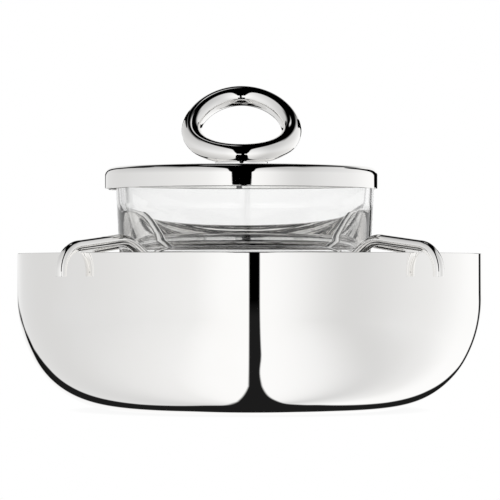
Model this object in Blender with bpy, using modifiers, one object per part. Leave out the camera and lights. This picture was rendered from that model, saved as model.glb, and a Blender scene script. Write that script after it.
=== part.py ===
"""An iced serving dish: a polished bowl for crushed ice, a bent-wire holder that hooks over the bowl's
rim, a heavy glass dish that stands in the holder, and a polished lid with a tilted ring for a handle.

Metres, +Z up. The origin is the middle of the bowl's flat base, on the table, and -Y is the front."""

import math

import bmesh
import bpy
from mathutils import Matrix, Vector

GAP = 0.0003  # left between pieces that touch

# Ice bowl, a spun shell
BOWL_RADIUS = 0.085
BOWL_HEIGHT = 0.0571
BOWL_WALL = 0.0015
BOWL_FLANK_HEIGHT = 0.0300  # where the upright wall and the sloping flank would meet
BOWL_FLANK_BEND = 0.048
BOWL_HEEL_RADIUS = 0.0692  # where the flank and the flat base would meet
BOWL_HEEL_BEND = 0.036

# Holder, four hooked arms of round wire brazed to a ring of the same wire
WIRE_RADIUS = 0.002
HOLDER_RING_RADIUS = 0.039
HOLDER_RING_HEIGHT = 0.0493
ARM_ANGLES = {"front_right": -45.0, "back_right": 45.0, "back_left": 135.0, "front_left": 225.0}
HOOK_REACH = 0.0924  # from the middle of the bowl to the hook's hanging end
HOOK_END_HEIGHT = 0.0487
HOOK_BEND = 0.0090
SHOULDER_REACH = 0.0614  # where the arm turns down into the bowl
SHOULDER_HEIGHT = 0.0620
SHOULDER_BEND = 0.0120
ARM_FALL = math.radians(35.0)
ARM_FOOT_BEND = 0.0060

# Lid, a pressed cap whose skirt drops over the glass. It fits loosely and sits a little to the left.
LID_SHIFT = -0.0031
LID_RADIUS = 0.0501
LID_WALL = 0.0010
LID_SKIRT_BOTTOM = 0.0805
LID_SHOULDER = 0.0885
LID_CORNER = 0.0033
LID_CROWN = 0.0007  # rise of the top from the shoulder to the middle
LID_EDGE_ROUND = 0.0003
LID_TOP = LID_SHOULDER + LID_CROWN

# Glass dish, which stands on the holder's ring with some play between the arms
DISH_SHIFT = -0.0018
GLASS_BOTTOM = HOLDER_RING_HEIGHT + WIRE_RADIUS + GAP
GLASS_FOOT_RADIUS = 0.0457  # the tapered side carried down to the underside
GLASS_FOOT_ROUND = 0.0075
GLASS_RIM_RADIUS = 0.0475
GLASS_TOP = LID_SHOULDER - LID_WALL - GAP
GLASS_RIM_ROUND = 0.0011
GLASS_RIM_WALL = 0.0024
GLASS_KNEE_RADIUS = 0.0440  # where the steep upper wall turns into the wedge-shaped lower one
GLASS_KNEE_HEIGHT = 0.0735
GLASS_KNEE_BEND = 0.030
GLASS_FLOOR = 0.0548
GLASS_FLOOR_RADIUS = 0.0405
GLASS_FLOOR_ROUND = 0.0030

# Ring handle and what fastens it
SCREW_RADIUS = 0.00195
SCREW_CLEARANCE = SCREW_RADIUS + GAP
COLLAR_RADIUS = 0.0097
COLLAR_BOTTOM = LID_TOP + GAP
COLLAR_TOP = 0.0907
RING_TUBE = 0.0038
RING_HALF_WIDTH = 0.0185
RING_HALF_HEIGHT = 0.01143
RING_HALF_DEPTH = math.sqrt(RING_HALF_WIDTH ** 2 - RING_HALF_HEIGHT ** 2)
RING_MIDDLE_HEIGHT = 0.1038
RING_WARP = 0.0010  # front and back rise by this, the two sides drop by it
RING_SEAT = COLLAR_TOP + GAP
TAPPED_HOLE_TOP = 0.0953
WASHER_RADIUS = 0.0050
WASHER_THICKNESS = 0.0008
WASHER_TOP = LID_TOP - LID_WALL - GAP
SCREW_HEAD_RADIUS = 0.0037
SCREW_HEAD_HEIGHT = 0.0022
SCREW_HEAD_ROUND = 0.0012
SCREW_SLOT_WIDTH = 0.0010
SCREW_SLOT_DEPTH = 0.0010

# Mesh fineness
BOWL_STEPS = 56
DISH_STEPS = 48
SMALL_STEPS = 24
RING_STEPS = 40
CUT_MARGIN = 0.005


def clear_scene():
    for found in list(bpy.data.objects):
        bpy.data.objects.remove(found)


def collection(name):
    made = bpy.data.collections.new(name)
    bpy.context.scene.collection.children.link(made)
    return made


def principled(name, colour, metallic, roughness, transmission=0.0):
    made = bpy.data.materials.new(name)
    made.use_nodes = True
    shader = made.node_tree.nodes["Principled BSDF"]
    shader.inputs["Base Color"].default_value = (*colour, 1.0)
    shader.inputs["Metallic"].default_value = metallic
    shader.inputs["Roughness"].default_value = roughness
    shader.inputs["Transmission Weight"].default_value = transmission
    return made


def rounded(corners):
    """A path through corners (x, z, radius, segments), each turned into an arc where it has a radius."""
    path = []
    last = len(corners) - 1
    for index, corner in enumerate(corners):
        point = Vector(corner[:2])
        if len(corner) == 2 or index in (0, last):
            path.append(point)
            continue
        radius, segments = corner[2:]
        back = (Vector(corners[index - 1][:2]) - point).normalized()
        ahead = (Vector(corners[index + 1][:2]) - point).normalized()
        half_turn = (math.pi - back.angle(ahead)) / 2
        centre = point + (back + ahead).normalized() * radius / math.cos(half_turn)
        start = point + back * radius * math.tan(half_turn) - centre
        turn = -2 * half_turn if back.angle_signed(ahead) < 0 else 2 * half_turn
        for step in range(segments + 1):
            path.append(centre + Matrix.Rotation(turn * step / segments, 2) @ start)
    return path


def turned(name, path, steps, material, group, closed=False):
    """A shape turned about Z from a path of (radius, height) that runs down its outer side."""
    mesh = bpy.data.meshes.new(name)
    edges = [(index, index + 1) for index in range(len(path) - 1)]
    if closed:
        edges.append((len(path) - 1, 0))
    mesh.from_pydata([(point.x, 0.0, point.y) for point in path], edges, [])
    mesh.materials.append(material)
    made = bpy.data.objects.new(name, mesh)
    group.objects.link(made)
    screw = made.modifiers.new("turn", "SCREW")
    screw.axis = "Z"
    screw.steps = steps
    screw.render_steps = steps
    screw.use_merge_vertices = True
    screw.merge_threshold = 0.00001
    screw.use_smooth_shade = True
    return made


def wire(name, points, radius, resolution, closed=False):
    """Curve data for a round wire along points."""
    data = bpy.data.curves.new(name, "CURVE")
    data.dimensions = "3D"
    data.bevel_depth = radius
    data.bevel_resolution = resolution
    data.use_fill_caps = not closed
    spline = data.splines.new("POLY")
    spline.points.add(len(points) - 1)
    for spot, point in zip(spline.points, points):
        spot.co = (*point, 1.0)
    spline.use_cyclic_u = closed
    return data


def as_mesh(curve, name, group):
    """The curve object made into a mesh object, so that it can be cut. The curve is removed."""
    bpy.context.view_layer.update()
    evaluated = curve.evaluated_get(bpy.context.evaluated_depsgraph_get())
    mesh = bpy.data.meshes.new_from_object(evaluated)
    shape = bmesh.new()
    shape.from_mesh(mesh)
    bmesh.ops.remove_doubles(shape, verts=shape.verts, dist=0.00001)
    shape.to_mesh(mesh)
    shape.free()
    mesh.shade_smooth()
    made = bpy.data.objects.new(name, mesh)
    made.matrix_world = curve.matrix_world
    group.objects.link(made)
    bpy.data.objects.remove(curve)
    return made


def hide_cutter(cutter, group):
    for owner in list(cutter.users_collection):
        owner.objects.unlink(cutter)
    group.objects.link(cutter)
    cutter.hide_render = True
    cutter.display_type = "WIRE"


def box_cutter(name, low, high, group):
    low, high = Vector(low), Vector(high)
    bpy.ops.mesh.primitive_cube_add(size=1.0, location=(low + high) / 2)
    cutter = bpy.context.object
    cutter.name = name
    cutter.data.transform(Matrix.Diagonal((*(high - low), 1.0)))
    hide_cutter(cutter, group)
    return cutter


def cut(made, cutter):
    boolean = made.modifiers.new(cutter.name, "BOOLEAN")
    boolean.operation = "DIFFERENCE"
    boolean.object = cutter


def place(name, shift, pieces, group):
    """Moves pieces, made round Z, to their own upright axis, which an empty marks."""
    axis = bpy.data.objects.new(name, None)
    axis.location.x = shift
    group.objects.link(axis)
    for piece in pieces:
        piece.parent = axis


def ice_bowl(silver, parts):
    corners = [
        (BOWL_RADIUS, BOWL_HEIGHT),
        (BOWL_RADIUS, BOWL_FLANK_HEIGHT, BOWL_FLANK_BEND, 5),
        (BOWL_HEEL_RADIUS, 0.0, BOWL_HEEL_BEND, 8),
        (0.0, 0.0),
    ]
    bowl = turned("ice_bowl", rounded(corners), BOWL_STEPS, silver, parts)
    shell = bowl.modifiers.new("wall", "SOLIDIFY")
    shell.thickness = BOWL_WALL
    return bowl


def holder_ring(silver, parts):
    bpy.ops.mesh.primitive_torus_add(
        location=(0.0, 0.0, HOLDER_RING_HEIGHT),
        major_radius=HOLDER_RING_RADIUS,
        minor_radius=WIRE_RADIUS,
        major_segments=DISH_STEPS,
        minor_segments=10,
    )
    ring = bpy.context.object
    ring.name = "holder_ring"
    ring.data.materials.append(silver)
    ring.data.shade_smooth()
    for owner in list(ring.users_collection):
        owner.objects.unlink(ring)
    parts.objects.link(ring)
    return ring


def holder_arms(silver, parts):
    """Four equal arms. Each hooks over the rim, runs inwards, and falls to the holder's ring."""
    rim_reach = BOWL_RADIUS - BOWL_WALL / 2
    over_rim = BOWL_HEIGHT + GAP + WIRE_RADIUS
    slope = (SHOULDER_HEIGHT - over_rim) / (rim_reach - SHOULDER_REACH)
    drop = SHOULDER_HEIGHT - HOLDER_RING_HEIGHT
    foot_reach = SHOULDER_REACH - drop / math.tan(ARM_FALL)
    end_reach = HOLDER_RING_RADIUS + WIRE_RADIUS + GAP
    corners = [
        (HOOK_REACH, HOOK_END_HEIGHT),
        (HOOK_REACH, over_rim - slope * (HOOK_REACH - rim_reach), HOOK_BEND, 7),
        (SHOULDER_REACH, SHOULDER_HEIGHT, SHOULDER_BEND, 4),
        (foot_reach, HOLDER_RING_HEIGHT, ARM_FOOT_BEND, 3),
        (end_reach, HOLDER_RING_HEIGHT),
    ]
    points = [(point.x, 0.0, point.y) for point in rounded(corners)]
    data = wire("holder_arm", points, WIRE_RADIUS, 3)
    data.materials.append(silver)
    for side, angle in ARM_ANGLES.items():
        arm = bpy.data.objects.new("holder_arm_" + side, data)
        arm.rotation_euler.z = math.radians(angle)
        parts.objects.link(arm)


def glass_dish(glass, parts):
    corners = [
        (0.0, GLASS_FLOOR),
        (GLASS_FLOOR_RADIUS, GLASS_FLOOR, GLASS_FLOOR_ROUND, 4),
        (GLASS_KNEE_RADIUS, GLASS_KNEE_HEIGHT, GLASS_KNEE_BEND, 3),
        (GLASS_RIM_RADIUS - GLASS_RIM_WALL, GLASS_TOP, GLASS_RIM_ROUND, 3),
        (GLASS_RIM_RADIUS, GLASS_TOP, GLASS_RIM_ROUND, 3),
        (GLASS_FOOT_RADIUS, GLASS_BOTTOM, GLASS_FOOT_ROUND, 5),
        (0.0, GLASS_BOTTOM),
    ]
    return turned("glass_dish", rounded(corners), DISH_STEPS, glass, parts)


def lid_shell(silver, parts):
    top_edge = LID_RADIUS - LID_CORNER
    crown = []
    for share in (0.35, 0.7):
        crown.append((top_edge * share, LID_SHOULDER + LID_CROWN * (1 - share ** 2)))
    inside = [(x, z - LID_WALL) for x, z in reversed(crown)]
    inner = LID_RADIUS - LID_WALL
    corners = [
        (SCREW_CLEARANCE, LID_TOP),
        *crown,
        (LID_RADIUS, LID_SHOULDER, LID_CORNER, 5),
        (LID_RADIUS, LID_SKIRT_BOTTOM, LID_EDGE_ROUND, 2),
        (inner, LID_SKIRT_BOTTOM, LID_EDGE_ROUND, 2),
        (inner, LID_SHOULDER - LID_WALL, LID_CORNER - LID_WALL, 5),
        *inside,
        (SCREW_CLEARANCE, LID_TOP - LID_WALL),
    ]
    return turned("lid_shell", rounded(corners), DISH_STEPS, silver, parts, closed=True)


def handle_collar(silver, parts):
    corners = [
        (SCREW_CLEARANCE, COLLAR_TOP),
        (COLLAR_RADIUS, COLLAR_TOP, 0.0003, 2),
        (COLLAR_RADIUS, COLLAR_BOTTOM),
        (SCREW_CLEARANCE, COLLAR_BOTTOM),
    ]
    return turned("handle_collar", rounded(corners), SMALL_STEPS, silver, parts, closed=True)


def ring_line(turn):
    """The ring's centre line. It leans back from its lowest point, over the lid's middle, and is warped."""
    lean = math.cos(turn)
    return (
        RING_HALF_WIDTH * math.sin(turn),
        RING_HALF_DEPTH * (1 + lean),
        RING_MIDDLE_HEIGHT + RING_HALF_HEIGHT * lean + RING_WARP * math.cos(2 * turn),
    )


def handle_ring(silver, parts, cutters):
    """The ring, cut flat where it stands on the collar and drilled for the screw, and its two cutters."""
    points = [ring_line(2 * math.pi * step / RING_STEPS) for step in range(RING_STEPS)]
    curve = bpy.data.objects.new("ring_line", wire("ring_line", points, RING_TUBE, 4, closed=True))
    parts.objects.link(curve)
    ring = as_mesh(curve, "handle_ring", parts)
    ring.data.materials.append(silver)
    reach = COLLAR_RADIUS + CUT_MARGIN
    seat = box_cutter(
        "seat_cutter",
        (-reach, -reach, COLLAR_BOTTOM - CUT_MARGIN),
        (reach, reach, RING_SEAT),
        cutters,
    )
    cut(ring, seat)
    depth = TAPPED_HOLE_TOP - COLLAR_BOTTOM
    bpy.ops.mesh.primitive_cylinder_add(
        vertices=SMALL_STEPS,
        radius=SCREW_CLEARANCE,
        depth=depth,
        location=(0.0, 0.0, TAPPED_HOLE_TOP - depth / 2),
    )
    tapped = bpy.context.object
    tapped.name = "tapped_hole_cutter"
    hide_cutter(tapped, cutters)
    cut(ring, tapped)
    return [ring, seat, tapped]


def handle_washer(steel, parts):
    corners = [
        (SCREW_CLEARANCE, WASHER_TOP),
        (WASHER_RADIUS, WASHER_TOP),
        (WASHER_RADIUS, WASHER_TOP - WASHER_THICKNESS),
        (SCREW_CLEARANCE, WASHER_TOP - WASHER_THICKNESS),
    ]
    return turned("handle_washer", rounded(corners), SMALL_STEPS, steel, parts, closed=True)


def handle_screw(steel, parts, cutters):
    """A slotted pan-head screw from under the lid, through the collar, into the ring, and its cutter."""
    head_top = WASHER_TOP - WASHER_THICKNESS - GAP
    head_bottom = head_top - SCREW_HEAD_HEIGHT
    corners = [
        (0.0, TAPPED_HOLE_TOP - GAP),
        (SCREW_RADIUS, TAPPED_HOLE_TOP - GAP, 0.0005, 1),
        (SCREW_RADIUS, head_top),
        (SCREW_HEAD_RADIUS, head_top),
        (SCREW_HEAD_RADIUS, head_bottom, SCREW_HEAD_ROUND, 3),
        (0.0, head_bottom),
    ]
    screw = turned("handle_screw", rounded(corners), SMALL_STEPS, steel, parts)
    reach = SCREW_HEAD_RADIUS + CUT_MARGIN
    slot = box_cutter(
        "slot_cutter",
        (-reach, -SCREW_SLOT_WIDTH / 2, head_bottom - CUT_MARGIN),
        (reach, SCREW_SLOT_WIDTH / 2, head_bottom + SCREW_SLOT_DEPTH),
        cutters,
    )
    cut(screw, slot)
    return [screw, slot]


def main():
    clear_scene()
    parts = collection("iced_serving_dish")
    cutters = collection("cutters")
    silver = principled("silver_plate", (0.90, 0.89, 0.87), 1.0, 0.06)
    steel = principled("stainless_steel", (0.62, 0.61, 0.60), 1.0, 0.28)
    glass = principled("clear_glass", (0.95, 0.97, 0.96), 0.0, 0.0, transmission=1.0)
    ice_bowl(silver, parts)
    holder_ring(silver, parts)
    holder_arms(silver, parts)
    dish = [glass_dish(glass, parts)]
    place("dish_axis", DISH_SHIFT, dish, parts)
    lid = [lid_shell(silver, parts), handle_collar(silver, parts), handle_washer(steel, parts)]
    lid += handle_ring(silver, parts, cutters)
    lid += handle_screw(steel, parts, cutters)
    place("lid_axis", LID_SHIFT, lid, parts)


main()
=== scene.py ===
"""The looks of an iced serving dish: a polished silver bowl for crushed ice, a bent-wire holder on its
rim, a heavy glass dish in the holder, and a polished lid with a tilted ring for a handle.

Metres, +Z up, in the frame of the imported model. -Y is the front."""

import math

import bmesh
import bpy
from mathutils import Matrix, Vector


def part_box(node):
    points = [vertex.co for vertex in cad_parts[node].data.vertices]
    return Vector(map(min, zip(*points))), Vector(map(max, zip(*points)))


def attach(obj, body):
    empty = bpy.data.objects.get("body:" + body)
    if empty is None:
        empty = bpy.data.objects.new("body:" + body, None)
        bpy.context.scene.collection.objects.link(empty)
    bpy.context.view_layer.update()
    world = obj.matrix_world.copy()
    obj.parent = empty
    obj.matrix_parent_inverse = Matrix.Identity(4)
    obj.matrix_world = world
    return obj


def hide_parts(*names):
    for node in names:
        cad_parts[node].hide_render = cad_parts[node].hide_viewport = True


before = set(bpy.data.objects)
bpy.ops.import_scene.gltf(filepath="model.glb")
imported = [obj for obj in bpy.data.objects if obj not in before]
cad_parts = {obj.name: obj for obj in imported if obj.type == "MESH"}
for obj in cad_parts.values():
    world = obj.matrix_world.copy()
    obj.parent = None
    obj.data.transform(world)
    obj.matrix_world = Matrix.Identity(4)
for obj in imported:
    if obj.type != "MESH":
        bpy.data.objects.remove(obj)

FRONT = -1.0

# Camera
CAMERA_DISTANCE = 1.2475
CAMERA_HEIGHT = 0.0494
CAMERA_AIM_HEIGHT = 0.05836
CAMERA_LENS = 245.7
SENSOR_WIDTH = 36.0

# Ice bowl
BOWL_WALL = 0.0015
BOWL_FLANK_HEIGHT = 0.0300
BOWL_FLANK_BEND = 0.048
BOWL_HEEL_RADIUS = 0.0692
BOWL_HEEL_BEND = 0.036
BOWL_LIP_ROUND = 0.00025
BOWL_LIP_DEPTH = 0.002  # the top of the inside wall, which ends in the rounded lip

# Holder
WIRE_RADIUS = 0.002
ARM_ANGLES = {"front_right": -45.0, "back_right": 45.0, "back_left": 135.0, "front_left": 225.0}
HOOK_REACH = 0.0924
HOOK_END_HEIGHT = 0.0487
HOOK_BEND = 0.0090
SHOULDER_REACH = 0.0614
SHOULDER_HEIGHT = 0.0620
SHOULDER_BEND = 0.0120
ARM_FALL = math.radians(35.0)
ARM_FOOT_BEND = 0.0060
WIRE_END_ROUND = 0.0003
WIRE_END_CLEAR = WIRE_END_ROUND * 1.5  # the wire's own hoops start this far from its end
RIM_CLEARANCE = 0.0003
BRAZE_LENGTH = 0.0016
BRAZE_GROWTH = 0.0010
BRAZE_LEVEL = 0.0001  # a spot this little above the hoop's height counts as level with it

# Glass dish
GLASS_FOOT_RADIUS = 0.0457
GLASS_FOOT_ROUND = 0.0075
GLASS_RIM_ROUND = 0.0011
GLASS_RIM_WALL = 0.0024
GLASS_KNEE_RADIUS = 0.0440
GLASS_KNEE_HEIGHT = 0.0735
GLASS_KNEE_BEND = 0.030
GLASS_FLOOR = 0.0548
GLASS_FLOOR_RADIUS = 0.0405
GLASS_FLOOR_ROUND = 0.0030

# Lid
LID_WALL = 0.0010
LID_CORNER = 0.0033
LID_CROWN = 0.0007
LID_CROWN_STEPS = 12
LID_EDGE_ROUND = 0.0003

# Handle and its fastening
RING_TUBE = 0.0038
RING_HALF_HEIGHT = 0.01143
RING_WARP = 0.0010
SEAT_CUT_REACH = 0.0147
SEAT_CUT_DEPTH = 0.01
COLLAR_ROUND = 0.0004
WASHER_ROUND = 0.00015
SCREW_RADIUS = 0.00195
SCREW_TIP_ROUND = 0.0005
SCREW_EDGE_ROUND = 0.0002
SCREW_CLEARANCE = 0.0003
SCREW_HOLE_RADIUS = 0.00225
SCREW_HEAD_RADIUS = 0.0037
SCREW_HEAD_HEIGHT = 0.0022
SCREW_HEAD_ROUND = 0.0012
SCREW_SLOT_WIDTH = 0.0010
SCREW_SLOT_DEPTH = 0.0010
CUT_MARGIN = 0.002

# Studio walls: (degrees from the front, light), right positive
WALL_LIGHT = [
    (-180.0, 1.00),
    (-165.0, 0.92),
    (-150.0, 0.72),
    (-120.0, 0.71),
    (-95.0, 0.74),
    (-70.0, 0.78),
    (-50.0, 0.83),
    (-27.0, 0.88),
    (-17.0, 0.98),
    (-8.0, 1.00),
    (10.0, 1.00),
    (24.0, 0.90),
    (35.0, 0.79),
    (48.0, 0.69),
    (65.0, 0.74),
    (85.0, 0.82),
    (105.0, 0.86),
    (125.0, 0.97),
    (145.0, 1.02),
    (180.0, 1.00),
]
LOW_LIGHT_START = -0.33  # below this the walls' light runs on under the object
LOW_LIGHT_TURN = 1.3  # how fast it does so
LOW_GLOW = 0.012  # what is left of the light in the darkest places low down

# Dark flags: (right, up, half width), in degrees from straight behind
LEFT_FLAG = [
    (1.1, -59.0, 4.0),
    (1.3, -52.0, 4.6),
    (0.0, -43.0, 9.2),
    (-8.0, -33.5, 6.3),
    (-16.5, -21.5, 6.5),
    (-20.0, -15.5, 6.9),
    (-22.0, -10.0, 3.6),
    (-21.0, -4.5, 1.1),
    (-14.0, -1.0, 0.6),
]
RIGHT_FLAG = [
    (1.0, -34.5, 7.3),
    (1.2, -56.0, 4.2),
    (2.5, -43.5, 8.2),
    (7.0, -32.0, 6.3),
    (9.5, -27.5, 5.1),
    (12.0, -20.0, 5.4),
    (13.2, -13.7, 4.9),
    (14.5, -9.5, 3.4),
    (19.5, -5.0, 2.3),
    (23.8, 0.5, 2.4),
]
HIGH_LEFT_FLAG = [(-17.0, 4.6, 3.7), (-18.0, 12.0, 3.2), (-38.0, 50.0, 5.5)]
HIGH_RIGHT_FLAG = [
    (20.0, 4.2, 3.2),
    (30.0, 4.2, 3.2),
    (27.5, 8.0, 6.4),
    (28.0, 12.0, 6.3),
    (30.5, 18.0, 5.8),
    (35.5, 25.5, 5.4),
    (39.0, 38.0, 6.5),
]
HIGH_FLAG_SOFTNESS = 0.6
FLAG_SOFTNESS = 2.0

# Dark gap for the lens: its middle and half width as sideways parts of a direction of length 1
GAP_MIDDLE = 0.037
GAP_MIDDLE_ABOVE = 0.006
GAP_HALF = 0.045
GAP_HALF_ABOVE = 0.145
GAP_GROWTH = 0.03
GAP_FUNNEL = 0.22
GAP_WAIST = 0.011
GAP_SHIFT_UNDER = 0.0075
GAP_SPREAD_UNDER = 0.0215
GAP_SOFTNESS = 0.007
GAP_SOFTNESS_ABOVE = 0.05

# Skylight: (hundredths sideways, degrees up from the front over the top, half width)
SKYLIGHT = [(-18.0, 111.0, 2.4), (-4.0, 105.0, 2.4)]
SKYLIGHT_SOFTNESS = 5.0
SKYLIGHT_TONE = 0.85
CEILING_DIMMING = 0.78

# Floor
FLOOR_HALF_WIDTH = 1.5
FLOOR_DROP = 0.0001
# painted shade: the glowing floor is darkened where the bowl stands close above it
FLOOR_PAINTED_SHADE = 0.94
FLOOR_PAINTED_SHADE_REACH = 0.005

# Mesh fineness
ROUND_STEPS = 192
SMALL_STEPS = 96
WIRE_SIDES = 28
RING_SIDES = 48
END_STEPS = 4
PATH_SPACING = 0.0016
WIRE_SPACING = 0.0005
SMALL_SPACING = 0.0008
ARC_SPACING = 0.0012
ARC_STEP = math.radians(4.0)
STRAIGHT_RUN = ARC_SPACING * 1.1  # anything longer isn't part of an arc
END_STRIP = 0.00006
ON_AXIS = 0.00001
SHARP_ANGLE = math.radians(40.0)


# ---------------------------------------------------------------- shapes


def rounded(corners):
    """A path through corners (x, z, radius), each turned into an arc where it has a radius."""
    path = []
    last = len(corners) - 1
    for index, corner in enumerate(corners):
        point = Vector(corner[:2])
        if len(corner) == 2 or index in (0, last):
            path.append(point)
            continue
        radius = corner[2]
        back = (Vector(corners[index - 1][:2]) - point).normalized()
        ahead = (Vector(corners[index + 1][:2]) - point).normalized()
        half_turn = (math.pi - back.angle(ahead)) / 2
        centre = point + (back + ahead).normalized() * radius / math.cos(half_turn)
        start = point + back * radius * math.tan(half_turn) - centre
        turn = -2 * half_turn if back.angle_signed(ahead) < 0 else 2 * half_turn
        by_angle = math.ceil(abs(turn) / ARC_STEP)
        by_length = math.ceil(abs(turn) * radius / ARC_SPACING)
        segments = max(3, by_angle, by_length)
        for step in range(segments + 1):
            path.append(centre + Matrix.Rotation(turn * step / segments, 2) @ start)
    return path


def fine(path, spacing=PATH_SPACING):
    """The same path with points added along its straight runs. The points close to a run's ends keep the
    shading of the next bend out of it."""
    result = [path[0]]
    for start, end in zip(path, path[1:]):
        length = (end - start).length
        parts = max(1, round(length / spacing))
        shares = [part / parts for part in range(1, parts)]
        if length > STRAIGHT_RUN:
            shares = [END_STRIP / length, *shares, 1 - END_STRIP / length]
        result += [start.lerp(end, share) for share in shares]
        result.append(end)
    return result


def finished(shape, name, material):
    """The bmesh made into a smooth object with one material."""
    bmesh.ops.recalc_face_normals(shape, faces=shape.faces)
    mesh = bpy.data.meshes.new(name)
    shape.to_mesh(mesh)
    shape.free()
    mesh.shade_smooth()
    mesh.set_sharp_from_angle(angle=SHARP_ANGLE)
    mesh.materials.append(material)
    made = bpy.data.objects.new(name, mesh)
    bpy.context.scene.collection.objects.link(made)
    return made


def turned(name, path, material, steps=ROUND_STEPS, closed=False, axis_x=0.0):
    """A shape turned about an upright axis from a path of (radius, height)."""
    shape = bmesh.new()
    hoops = []
    for radius, height in path:
        if radius < ON_AXIS:
            hoops.append([shape.verts.new((axis_x, 0.0, height))] * steps)
            continue
        hoop = []
        for step in range(steps):
            angle = 2 * math.pi * step / steps
            spot = (axis_x + radius * math.cos(angle), radius * math.sin(angle), height)
            hoop.append(shape.verts.new(spot))
        hoops.append(hoop)
    if closed:
        hoops.append(hoops[0])
    for upper, lower in zip(hoops, hoops[1:]):
        for step in range(steps):
            after = (step + 1) % steps
            corners = dict.fromkeys((upper[step], upper[after], lower[after], lower[step]))
            if len(corners) > 2:
                shape.faces.new(corners)
    return finished(shape, name, material)


def tube(name, line, material, sides, reference, closed=False):
    """A round tube along line, a list of (centre, radius). The reference direction is never along it."""
    shape = bmesh.new()
    hoops = []
    last = len(line) - 1
    for index, (centre, radius) in enumerate(line):
        before = line[index - 1][0] if closed or index > 0 else centre
        after = line[(index + 1) % len(line)][0] if closed or index < last else centre
        along = (after - before).normalized()
        across = reference(centre).cross(along).normalized()
        up = along.cross(across)
        hoop = []
        for side in range(sides):
            angle = 2 * math.pi * side / sides
            outward = across * math.cos(angle) + up * math.sin(angle)
            hoop.append(shape.verts.new(centre + outward * radius))
        hoops.append(hoop)
    if closed:
        hoops.append(hoops[0])
    else:
        shape.faces.new(hoops[0])
        shape.faces.new(hoops[-1])
    for hoop, following in zip(hoops, hoops[1:]):
        for side in range(sides):
            after = (side + 1) % sides
            shape.faces.new((hoop[side], hoop[after], following[after], following[side]))
    return finished(shape, name, material)


def round_end(tip, along, radius, bend):
    """(centre, radius) pairs that round a wire's end, where along points from the tip into the wire."""
    pairs = []
    for step in range(END_STEPS + 1):
        angle = math.pi / 2 * step / END_STEPS
        centre = tip + along * bend * (1 - math.sin(angle))
        pairs.append((centre, radius - bend * (1 - math.cos(angle))))
    return list(reversed(pairs))


def cutter_box(low, high):
    shape = bmesh.new()
    size = Matrix.Diagonal((*(high - low), 1.0))
    bmesh.ops.create_cube(shape, size=1.0, matrix=Matrix.Translation((low + high) / 2) @ size)
    return shape


def cutter_rod(radius, bottom, top, axis_x):
    shape = bmesh.new()
    place = Matrix.Translation((axis_x, 0.0, (bottom + top) / 2))
    bmesh.ops.create_cone(
        shape,
        cap_ends=True,
        segments=SMALL_STEPS,
        radius1=radius,
        radius2=radius,
        depth=top - bottom,
        matrix=place,
    )
    return shape


def cut(made, shape):
    """Takes the cutter's shape out of a piece for good."""
    mesh = bpy.data.meshes.new("cutter")
    shape.to_mesh(mesh)
    shape.free()
    cutter = bpy.data.objects.new("cutter", mesh)
    bpy.context.scene.collection.objects.link(cutter)
    boolean = made.modifiers.new("cut", "BOOLEAN")
    boolean.operation = "DIFFERENCE"
    boolean.object = cutter
    bpy.context.view_layer.update()
    evaluated = made.evaluated_get(bpy.context.evaluated_depsgraph_get())
    result = bpy.data.meshes.new_from_object(evaluated)
    made.modifiers.clear()
    made.data = result
    bpy.data.objects.remove(cutter)


# ---------------------------------------------------------------- material nodes


def node(tree, kind, inputs=None, **settings):
    """A new shader node. inputs holds values or other nodes' sockets by input name or number."""
    made = tree.nodes.new("ShaderNode" + kind)
    for name, value in settings.items():
        setattr(made, name, value)
    for name, value in (inputs or {}).items():
        if isinstance(value, bpy.types.NodeSocket):
            tree.links.new(value, made.inputs[name])
        else:
            made.inputs[name].default_value = value
    return made


def maths(tree, operation, *values):
    made = node(tree, "Math", dict(enumerate(values)), operation=operation)
    return made.outputs[0]


def remap(tree, value, from_low, from_high, to_low, to_high, smooth=False):
    """value carried from one range to another, and held at the ends."""
    made = node(
        tree,
        "MapRange",
        {
            "Value": value,
            "From Min": from_low,
            "From Max": from_high,
            "To Min": to_low,
            "To Max": to_high,
        },
        interpolation_type="SMOOTHSTEP" if smooth else "LINEAR",
    )
    return made.outputs["Result"]


def new_material(name):
    made = bpy.data.materials.new(name)
    made.use_nodes = True
    made.node_tree.nodes.clear()
    return made, made.node_tree


def noise(tree, coordinate, scale, detail=2.0, roughness=0.5):
    made = node(
        tree,
        "TexNoise",
        {"Vector": coordinate, "Scale": scale, "Detail": detail, "Roughness": roughness},
    )
    return made.outputs["Fac"]


def object_coordinate(tree):
    return node(tree, "TexCoord").outputs["Object"]


def stretched(tree, coordinate, stretch):
    return node(tree, "Mapping", {"Vector": coordinate, "Scale": stretch}).outputs["Vector"]


def round_coordinate(tree, coordinate, axis_x, turns_scale, other_scale):
    """(angle, radius, height) round an upright axis, for marks that run round a spun piece."""
    spot = node(tree, "SeparateXYZ", {0: coordinate})
    across = maths(tree, "SUBTRACT", spot.outputs["X"], axis_x)
    angle = maths(tree, "ARCTAN2", spot.outputs["Y"], across)
    squares = maths(
        tree,
        "ADD",
        maths(tree, "MULTIPLY", across, across),
        maths(tree, "MULTIPLY", spot.outputs["Y"], spot.outputs["Y"]),
    )
    radius = maths(tree, "SQRT", squares)
    made = node(
        tree,
        "CombineXYZ",
        {
            "X": maths(tree, "MULTIPLY", angle, turns_scale),
            "Y": maths(tree, "MULTIPLY", radius, other_scale),
            "Z": maths(tree, "MULTIPLY", spot.outputs["Z"], other_scale),
        },
    )
    return made.outputs[0]


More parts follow.
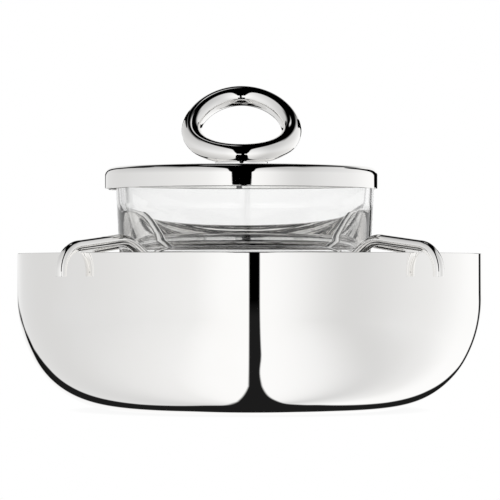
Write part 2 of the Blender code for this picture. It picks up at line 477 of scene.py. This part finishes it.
def silver(name, polish, marks, axis_x=0.0):
    """Silver plate. polish is its roughness, and marks the strength of the fine lines left by buffing."""
    made, tree = new_material(name)
    place = object_coordinate(tree)
    cloud = noise(tree, place, scale=38.0, detail=3.0)
    around = round_coordinate(tree, place, axis_x, turns_scale=3.0, other_scale=2600.0)
    lines = noise(tree, around, scale=1.0, roughness=0.7)
    pores = noise(tree, place, scale=900.0)
    hue = node(
        tree,
        "Mix",
        {
            "Factor": remap(tree, cloud, 0.35, 0.65, 0.0, 1.0, smooth=True),
            "A": (0.968, 0.960, 0.946, 1.0),
            "B": (0.980, 0.974, 0.964, 1.0),
        },
        data_type="RGBA",
    )
    haze = maths(
        tree,
        "ADD",
        remap(tree, cloud, 0.3, 0.75, polish * 0.7, polish * 1.5),
        remap(tree, lines, 0.55, 0.8, 0.0, marks * 0.1),
    )
    relief = maths(tree, "ADD", lines, maths(tree, "MULTIPLY", pores, 0.25))
    bump = node(tree, "Bump", {"Height": relief, "Strength": marks, "Distance": 0.00001})
    shader = node(
        tree,
        "BsdfPrincipled",
        {
            "Base Color": hue.outputs["Result"],
            "Metallic": 1.0,
            "Roughness": haze,
            "Normal": bump.outputs[0],
        },
    )
    node(tree, "OutputMaterial", {"Surface": shader.outputs[0]})
    return made


def turned_steel(name, axis_x):
    """Stainless steel with fine lathe lines."""
    made, tree = new_material(name)
    place = object_coordinate(tree)
    around = round_coordinate(tree, place, axis_x, turns_scale=2.0, other_scale=5200.0)
    lines = noise(tree, around, scale=1.0, detail=3.0, roughness=0.7)
    cloud = noise(tree, place, scale=260.0, detail=3.0)
    hue = node(
        tree,
        "Mix",
        {"Factor": cloud, "A": (0.52, 0.51, 0.50, 1.0), "B": (0.68, 0.67, 0.66, 1.0)},
        data_type="RGBA",
    )
    bump = node(tree, "Bump", {"Height": lines, "Strength": 0.3, "Distance": 0.00003})
    shader = node(
        tree,
        "BsdfPrincipled",
        {
            "Base Color": hue.outputs["Result"],
            "Metallic": 1.0,
            "Roughness": remap(tree, lines, 0.2, 0.8, 0.18, 0.34),
            "Normal": bump.outputs[0],
        },
    )
    node(tree, "OutputMaterial", {"Surface": shader.outputs[0]})
    return made


def pressed_glass(name):
    """Clear pressed glass with a fire-polished skin that is not quite even."""
    made, tree = new_material(name)
    place = object_coordinate(tree)
    swirl = noise(tree, stretched(tree, place, (1.0, 1.0, 2.4)), scale=55.0)
    skin = noise(tree, place, scale=420.0)
    relief = maths(tree, "ADD", swirl, maths(tree, "MULTIPLY", skin, 0.04))
    bump = node(tree, "Bump", {"Height": relief, "Strength": 0.2, "Distance": 0.00005})
    shader = node(
        tree,
        "BsdfPrincipled",
        {
            "Base Color": (0.996, 0.997, 0.995, 1.0),
            "Roughness": remap(tree, skin, 0.4, 0.8, 0.0, 0.02),
            "IOR": 1.5,
            "Transmission Weight": 1.0,
            "Normal": bump.outputs[0],
        },
    )
    node(tree, "OutputMaterial", {"Surface": shader.outputs[0]})
    return made


# ---------------------------------------------------------------- pieces


def as_piece(made, body, slot, *nodes):
    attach(made, body)
    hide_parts(*nodes)
    return made


def middle_x(node_name):
    low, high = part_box(node_name)
    return (low.x + high.x) / 2


def half_width(node_name):
    low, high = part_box(node_name)
    return (high.x - low.x) / 2


def top_of(node_name):
    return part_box(node_name)[1].z


def bowl(material):
    low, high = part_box("ice_bowl")
    radius = high.x
    height = high.z
    wall = BOWL_WALL
    outside = [
        (radius, height, BOWL_LIP_ROUND),
        (radius, BOWL_FLANK_HEIGHT, BOWL_FLANK_BEND),
        (BOWL_HEEL_RADIUS, low.z, BOWL_HEEL_BEND),
        (0.0, low.z),
    ]
    outer = rounded([(radius - wall / 2, height), *outside])
    inner = []
    for index in range(1, len(outer) - 1):
        along = (outer[index + 1] - outer[index - 1]).normalized()
        inward = Vector((along.y, -along.x))
        inner.append(outer[index] + inward * wall)
    inner_wall = [point for point in inner if point.y < height - BOWL_LIP_DEPTH]
    lip = rounded([
        (radius - wall, height - BOWL_LIP_DEPTH),
        (radius - wall, height, BOWL_LIP_ROUND),
        (radius - wall / 2, height),
    ])
    path = fine(outer)
    path += fine([Vector((0.0, low.z + wall)), *reversed(inner_wall), *lip[:-1]])
    made = turned("bowl_shell", path, material, closed=True)
    return as_piece(made, "bowl", "bowl_silver", "ice_bowl")


def holder_hoop(material):
    low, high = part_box("holder_ring")
    height = (low.z + high.z) / 2
    reach = half_width("holder_ring") - WIRE_RADIUS
    line = []
    for step in range(ROUND_STEPS):
        angle = 2 * math.pi * step / ROUND_STEPS
        line.append((Vector((reach * math.cos(angle), reach * math.sin(angle), height)), WIRE_RADIUS))
    made = tube("holder_hoop", line, material, WIRE_SIDES, lambda centre: Vector((0, 0, 1)), closed=True)
    return as_piece(made, "holder", "holder_silver", "holder_ring")


def arm_line():
    """(centre, radius) pairs of one arm in the XZ plane, from the hook's end to the braze at the hoop."""
    low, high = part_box("holder_ring")
    hoop_height = (low.z + high.z) / 2
    hoop_reach = half_width("holder_ring") - WIRE_RADIUS
    bowl_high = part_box("ice_bowl")[1]
    rim_reach = bowl_high.x - BOWL_WALL / 2
    over_rim = bowl_high.z + RIM_CLEARANCE + WIRE_RADIUS
    slope = (SHOULDER_HEIGHT - over_rim) / (rim_reach - SHOULDER_REACH)
    drop = SHOULDER_HEIGHT - hoop_height
    corners = [
        (HOOK_REACH, HOOK_END_HEIGHT),
        (HOOK_REACH, over_rim - slope * (HOOK_REACH - rim_reach), HOOK_BEND),
        (SHOULDER_REACH, SHOULDER_HEIGHT, SHOULDER_BEND),
        (SHOULDER_REACH - drop / math.tan(ARM_FALL), hoop_height, ARM_FOOT_BEND),
        (hoop_reach + WIRE_RADIUS / 2, hoop_height),
    ]
    points = [Vector((point.x, 0.0, point.y)) for point in fine(rounded(corners), WIRE_SPACING)]
    hook_end = points[0]
    line = round_end(hook_end, Vector((0, 0, 1)), WIRE_RADIUS, WIRE_END_ROUND)
    for point in points:
        if (point - hook_end).length <= WIRE_END_CLEAR:
            continue
        to_hoop = point.x - (hoop_reach + WIRE_RADIUS)
        share = min(1.0, max(0.0, 1 - to_hoop / BRAZE_LENGTH))
        level = point.z < hoop_height + BRAZE_LEVEL
        braze = BRAZE_GROWTH * share ** 2 if level else 0.0
        line.append((point, WIRE_RADIUS + braze))
    return line


def holder_arms(material):
    line = arm_line()
    for side, angle in ARM_ANGLES.items():
        turn = Matrix.Rotation(math.radians(angle), 4, "Z")
        placed = [(turn @ centre, radius) for centre, radius in line]
        sideways = turn @ Vector((0, 1, 0))
        made = tube("holder_wire_" + side, placed, material, WIRE_SIDES, lambda centre: sideways)
        as_piece(made, "holder", "holder_silver", "holder_arm_" + side)


def dish(material):
    low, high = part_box("glass_dish")
    rim = half_width("glass_dish")
    corners = [
        (0.0, GLASS_FLOOR),
        (GLASS_FLOOR_RADIUS, GLASS_FLOOR, GLASS_FLOOR_ROUND),
        (GLASS_KNEE_RADIUS, GLASS_KNEE_HEIGHT, GLASS_KNEE_BEND),
        (rim - GLASS_RIM_WALL, high.z, GLASS_RIM_ROUND),
        (rim, high.z, GLASS_RIM_ROUND),
        (GLASS_FOOT_RADIUS, low.z, GLASS_FOOT_ROUND),
        (0.0, low.z),
    ]
    made = turned("caviar_glass", fine(rounded(corners)), material, axis_x=middle_x("glass_dish"))
    return as_piece(made, "dish", "dish_glass", "glass_dish")


def lid(material):
    low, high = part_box("lid_shell")
    radius = half_width("lid_shell")
    shoulder = high.z - LID_CROWN
    top_edge = radius - LID_CORNER
    crown = []
    for step in range(1, LID_CROWN_STEPS):
        share = step / LID_CROWN_STEPS
        crown.append((top_edge * share, shoulder + LID_CROWN * (1 - share ** 2)))
    inside = [(x, z - LID_WALL) for x, z in reversed(crown)]
    inner = radius - LID_WALL
    corners = [
        (SCREW_HOLE_RADIUS, high.z),
        *crown,
        (radius, shoulder, LID_CORNER),
        (radius, low.z, LID_EDGE_ROUND),
        (inner, low.z, LID_EDGE_ROUND),
        (inner, shoulder - LID_WALL, LID_CORNER - LID_WALL),
        *inside,
        (SCREW_HOLE_RADIUS, high.z - LID_WALL),
    ]
    axis_x = middle_x("lid_shell")
    made = turned("lid_cap", fine(rounded(corners)), material, closed=True, axis_x=axis_x)
    return as_piece(made, "lid", "lid_silver", "lid_shell")


def drilled_disc(name, node_name, bottom, edge_round, material):
    """A flat disc with a hole for the screw, from bottom to the top of its CAD node."""
    top = top_of(node_name)
    radius = half_width(node_name)
    corners = [
        (SCREW_HOLE_RADIUS, top),
        (radius, top, edge_round),
        (radius, bottom, edge_round),
        (SCREW_HOLE_RADIUS, bottom),
    ]
    path = fine(rounded(corners), SMALL_SPACING)
    return turned(name, path, material, SMALL_STEPS, closed=True, axis_x=middle_x(node_name))


def collar(material):
    made = drilled_disc("ring_collar", "handle_collar", top_of("lid_shell"), COLLAR_ROUND, material)
    return as_piece(made, "lid", "lid_silver", "handle_collar")


def ring(material):
    """The tilted ring. It is flat where it stands on the collar, and drilled for the screw."""
    axis_x = middle_x("handle_ring")
    half = half_width("handle_ring") - RING_TUBE
    depth = math.sqrt(half ** 2 - RING_HALF_HEIGHT ** 2)
    middle = top_of("handle_ring") - RING_TUBE - RING_WARP - RING_HALF_HEIGHT
    line = []
    for step in range(ROUND_STEPS):
        turn = 2 * math.pi * step / ROUND_STEPS
        lean = math.cos(turn)
        rise = middle + RING_HALF_HEIGHT * lean + RING_WARP * math.cos(2 * turn)
        line.append((Vector((axis_x + half * math.sin(turn), depth * (1 + lean), rise)), RING_TUBE))
    centre = Vector((axis_x, depth, middle))
    made = tube("ring_handle", line, material, RING_SIDES, lambda spot: spot - centre, closed=True)
    seat = top_of("handle_collar")
    low = Vector((axis_x - SEAT_CUT_REACH, -SEAT_CUT_REACH, seat - SEAT_CUT_DEPTH))
    high = Vector((axis_x + SEAT_CUT_REACH, SEAT_CUT_REACH, seat))
    cut(made, cutter_box(low, high))
    hole_top = top_of("handle_screw") + SCREW_CLEARANCE
    cut(made, cutter_rod(SCREW_HOLE_RADIUS, seat - CUT_MARGIN, hole_top, axis_x))
    return as_piece(made, "lid", "lid_silver", "handle_ring")


def washer(material):
    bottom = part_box("handle_washer")[0].z
    made = drilled_disc("lid_washer", "handle_washer", bottom, WASHER_ROUND, material)
    return as_piece(made, "lid", "fastener_steel", "handle_washer")


def screw(material):
    low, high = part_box("handle_screw")
    head_top = low.z + SCREW_HEAD_HEIGHT
    axis_x = middle_x("handle_screw")
    corners = [
        (0.0, high.z),
        (SCREW_RADIUS, high.z, SCREW_TIP_ROUND),
        (SCREW_RADIUS, head_top, SCREW_EDGE_ROUND),
        (SCREW_HEAD_RADIUS, head_top, SCREW_EDGE_ROUND),
        (SCREW_HEAD_RADIUS, low.z, SCREW_HEAD_ROUND),
        (0.0, low.z),
    ]
    path = fine(rounded(corners), SMALL_SPACING)
    made = turned("lid_screw", path, material, SMALL_STEPS, axis_x=axis_x)
    half = SCREW_SLOT_WIDTH / 2
    reach = SCREW_HEAD_RADIUS * 2
    slot_low = Vector((axis_x - reach, -half, low.z - CUT_MARGIN))
    slot_high = Vector((axis_x + reach, half, low.z + SCREW_SLOT_DEPTH))
    cut(made, cutter_box(slot_low, slot_high))
    return as_piece(made, "lid", "fastener_steel", "handle_screw")


# ---------------------------------------------------------------- stage


def camera():
    data = bpy.data.cameras.new("camera")
    data.lens = CAMERA_LENS
    data.sensor_width = SENSOR_WIDTH
    made = bpy.data.objects.new("camera", data)
    made.location = (0.0, FRONT * CAMERA_DISTANCE, CAMERA_HEIGHT)
    aim = Vector((0.0, 0.0, CAMERA_AIM_HEIGHT)) - made.location
    made.rotation_euler = aim.to_track_quat("-Z", "Y").to_euler()
    bpy.context.scene.collection.objects.link(made)
    bpy.context.scene.camera = made


def behind_angles(tree, spot):
    """How many degrees a direction lies to the right of straight behind the object, and above it."""
    away = maths(tree, "DEGREES", maths(tree, "ARCCOSINE", spot.outputs["Y"]))
    square = maths(tree, "POWER", spot.outputs["Y"], 2.0)
    side = maths(tree, "SQRT", maths(tree, "SUBTRACT", 1.0001, square))
    share = maths(tree, "DIVIDE", away, side)
    right = maths(tree, "MULTIPLY", spot.outputs["X"], share)
    up = maths(tree, "MULTIPLY", spot.outputs["Z"], share)
    return node(tree, "CombineXYZ", {"X": right, "Y": up}).outputs[0]


def stroke(tree, point, start, end):
    """Distance from point to a tapered band. start and end are (right, up, half width)."""
    origin = (start[0], start[1], 0.0)
    from_start = node(tree, "VectorMath", {0: point, 1: origin}, operation="SUBTRACT")
    run = (end[0] - start[0], end[1] - start[1], 0.0)
    length = run[0] ** 2 + run[1] ** 2
    along = node(tree, "VectorMath", {0: from_start.outputs[0], 1: run}, operation="DOT_PRODUCT")
    share = remap(tree, along.outputs["Value"], 0.0, length, 0.0, 1.0)
    nearest = node(tree, "VectorMath", {0: run, "Scale": share}, operation="SCALE")
    ends = {0: from_start.outputs[0], 1: nearest.outputs[0]}
    away = node(tree, "VectorMath", ends, operation="DISTANCE")
    width = remap(tree, share, 0.0, 1.0, start[2], end[2])
    return maths(tree, "SUBTRACT", away.outputs["Value"], width)


def band(tree, point, spots, softness):
    """1 outside a bent band through spots of (right, up, half width), and 0 inside it."""
    nearest = 1000.0
    for start, end in zip(spots, spots[1:]):
        nearest = maths(tree, "MINIMUM", nearest, stroke(tree, point, start, end))
    return remap(tree, nearest, -softness / 2, softness / 2, 0.0, 1.0, smooth=True)


def wall_light(tree, spot):
    """Brightness of the studio's walls, by the compass: 0 is the front, and right is positive. Low down
    it runs on under the object toward the back."""
    below = maths(tree, "MAXIMUM", maths(tree, "SUBTRACT", LOW_LIGHT_START, spot.outputs["Z"]), 0.0)
    forward = maths(tree, "SUBTRACT", maths(tree, "MULTIPLY", below, LOW_LIGHT_TURN), spot.outputs["Y"])
    azimuth = maths(tree, "DEGREES", maths(tree, "ARCTAN2", spot.outputs["X"], forward))
    ramp = node(tree, "ValToRGB", {"Fac": remap(tree, azimuth, -180.0, 180.0, 0.0, 1.0)})
    ramp.color_ramp.interpolation = "B_SPLINE"
    while len(ramp.color_ramp.elements) > 1:
        ramp.color_ramp.elements.remove(ramp.color_ramp.elements[-1])
    for index, (angle, light) in enumerate(WALL_LIGHT):
        place = (angle + 180.0) / 360.0
        stops = ramp.color_ramp.elements
        stop = stops[0] if index == 0 else stops.new(place)
        stop.position = place
        stop.color = (light, light, light, 1.0)
    return ramp.outputs["Color"]


def rise_angle(tree, spot):
    """Degrees from straight ahead of the object up over its top: 90 is overhead and 180 straight behind."""
    forward = maths(tree, "MULTIPLY", spot.outputs["Y"], -1.0)
    return maths(tree, "DEGREES", maths(tree, "ARCTAN2", spot.outputs["Z"], forward))


def gap_middle(tree, rise, waist, under):
    """Where the lens gap's middle line runs, sideways."""
    middle = remap(tree, rise, 0.008, 0.022, GAP_MIDDLE, GAP_MIDDLE_ABOVE, smooth=True)
    shift = maths(tree, "MULTIPLY", under, GAP_SHIFT_UNDER)
    return maths(tree, "SUBTRACT", maths(tree, "SUBTRACT", middle, waist), shift)


def gap_half(tree, rise, waist, under, angle):
    """Half the lens gap's width: least under the object's front, and widest overhead."""
    half = remap(tree, rise, 0.010, 0.030, GAP_HALF, GAP_HALF_ABOVE, smooth=True)
    spread = maths(tree, "MULTIPLY", under, GAP_SPREAD_UNDER)
    half = maths(tree, "ADD", maths(tree, "SUBTRACT", half, waist), spread)
    growth = remap(tree, angle, 6.0, 20.0, 0.0, GAP_GROWTH)
    funnel = remap(tree, angle, 46.0, 96.0, 0.0, GAP_FUNNEL, smooth=True)
    return maths(tree, "ADD", maths(tree, "ADD", half, growth), funnel)


def lens_gap(tree, spot):
    """0 in the dark gap through which the lens looks, and 1 beside it. The gap runs from overhead down
    the front and on under the object."""
    rise = spot.outputs["Z"]
    waist = remap(tree, rise, -0.75, -0.98, 0.0, GAP_WAIST, smooth=True)
    under = remap(tree, spot.outputs["Y"], 0.0, 0.45, 0.0, 1.0)
    angle = rise_angle(tree, spot)
    middle = gap_middle(tree, rise, waist, under)
    off = maths(tree, "ABSOLUTE", maths(tree, "SUBTRACT", spot.outputs["X"], middle))
    edge = maths(tree, "SUBTRACT", off, gap_half(tree, rise, waist, under, angle))
    softness = remap(tree, angle, 40.0, 80.0, GAP_SOFTNESS, GAP_SOFTNESS_ABOVE)
    lit = maths(tree, "ADD", maths(tree, "DIVIDE", edge, maths(tree, "MULTIPLY", softness, 2.0)), 0.5)
    lit = remap(tree, lit, 0.0, 1.0, 0.0, 1.0, smooth=True)
    behind = remap(tree, spot.outputs["Y"], 0.55, 0.65, 0.0, 1.0, smooth=True)
    return maths(tree, "MAXIMUM", lit, behind)


def ceiling(tree, spot):
    """1 on the walls, a little less higher up, and 0 on the dark ceiling overhead."""
    rise = rise_angle(tree, spot)
    front_edge = remap(tree, rise, 80.0, 100.0, 1.0, 0.0, smooth=True)
    back_edge = remap(tree, rise, 138.0, 154.0, 0.0, 1.0, smooth=True)
    side_off = maths(tree, "ABSOLUTE", spot.outputs["X"])
    side_edge = remap(tree, side_off, 0.38, 0.62, 0.0, 1.0, smooth=True)
    dimming = remap(tree, spot.outputs["Z"], 0.1, 0.8, 1.0, CEILING_DIMMING)
    edge = maths(tree, "MAXIMUM", maths(tree, "MAXIMUM", front_edge, back_edge), side_edge)
    return maths(tree, "MULTIPLY", edge, dimming)


def skylight(tree, spot):
    """A slit of light in the dark ceiling, a little behind the top and to the left."""
    across = maths(tree, "MULTIPLY", spot.outputs["X"], 100.0)
    place = node(tree, "CombineXYZ", {"X": across, "Y": rise_angle(tree, spot)}).outputs[0]
    outside = band(tree, place, SKYLIGHT, SKYLIGHT_SOFTNESS)
    return maths(tree, "MULTIPLY", maths(tree, "SUBTRACT", 1.0, outside), SKYLIGHT_TONE)


def studio():
    """A light tent: pale walls all round, a dark gap for the lens, a dark ceiling with a slit of light,
    and dark flags behind. The camera itself sees plain white."""
    world = bpy.data.worlds.new("studio")
    bpy.context.scene.world = world
    world.use_nodes = True
    tree = world.node_tree
    tree.nodes.clear()
    spot = node(tree, "SeparateXYZ", {0: node(tree, "TexCoord").outputs["Generated"]})
    light = wall_light(tree, spot)
    behind = behind_angles(tree, spot)
    light = maths(tree, "MULTIPLY", light, lens_gap(tree, spot))
    light = maths(tree, "MULTIPLY", light, ceiling(tree, spot))
    for flag in (LEFT_FLAG, RIGHT_FLAG):
        light = maths(tree, "MULTIPLY", light, band(tree, behind, flag, FLAG_SOFTNESS))
    for flag in (HIGH_LEFT_FLAG, HIGH_RIGHT_FLAG):
        light = maths(tree, "MULTIPLY", light, band(tree, behind, flag, HIGH_FLAG_SOFTNESS))
    light = maths(tree, "MAXIMUM", light, skylight(tree, spot))
    light = maths(tree, "MAXIMUM", light, remap(tree, spot.outputs["Z"], -0.3, -0.05, LOW_GLOW, 0.0))
    seen = node(tree, "LightPath").outputs["Is Camera Ray"]
    tone = maths(tree, "MAXIMUM", light, seen)
    background = node(tree, "Background", {"Color": tone})
    node(tree, "OutputWorld", {"Surface": background.outputs[0]})
    bpy.context.scene.view_settings.view_transform = "Standard"


def floor():
    """A pale floor that glows evenly, with painted shade that makes it a little darker just where the bowl
    stands.
    It is seen from above only, and the silver mirrors the studio in place of it."""
    shape = bmesh.new()
    bmesh.ops.create_grid(shape, x_segments=1, y_segments=1, size=FLOOR_HALF_WIDTH)
    made, tree = new_material("floor")
    # Painted contact shade: ambient occlusion darkens the glowing floor close under the bowl
    painted_contact_shade = node(tree, "AmbientOcclusion", {"Distance": FLOOR_PAINTED_SHADE_REACH}, samples=16)
    shade = remap(tree, painted_contact_shade.outputs["AO"], 0.0, 1.0, FLOOR_PAINTED_SHADE, 1.0)
    grain = noise(tree, object_coordinate(tree), scale=90.0, detail=3.0)
    tone = maths(tree, "MULTIPLY", shade, remap(tree, grain, 0.0, 1.0, 0.995, 1.005))
    glow = node(tree, "Emission", {"Color": tone})
    clear = node(tree, "BsdfTransparent")
    back = node(tree, "NewGeometry").outputs["Backfacing"]
    both = node(tree, "MixShader", {0: back, 1: glow.outputs[0], 2: clear.outputs[0]})
    node(tree, "OutputMaterial", {"Surface": both.outputs[0]})
    plane = finished(shape, "floor", made)
    plane.location.z = -FLOOR_DROP
    plane.visible_glossy = False
    plane.visible_transmission = False
    plane.visible_diffuse = False
    plane.visible_shadow = False


def main():
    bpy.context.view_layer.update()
    camera()
    studio()
    floor()
    bowl(silver("bowl_silver", polish=0.01, marks=0.04))
    wire_silver = silver("holder_silver", polish=0.015, marks=0.03)
    holder_hoop(wire_silver)
    holder_arms(wire_silver)
    dish(pressed_glass("dish_glass"))
    lid_silver = silver("lid_silver", polish=0.012, marks=0.04, axis_x=middle_x("lid_shell"))
    lid(lid_silver)
    collar(lid_silver)
    ring(lid_silver)
    steel = turned_steel("fastener_steel", middle_x("handle_screw"))
    washer(steel)
    screw(steel)


main()
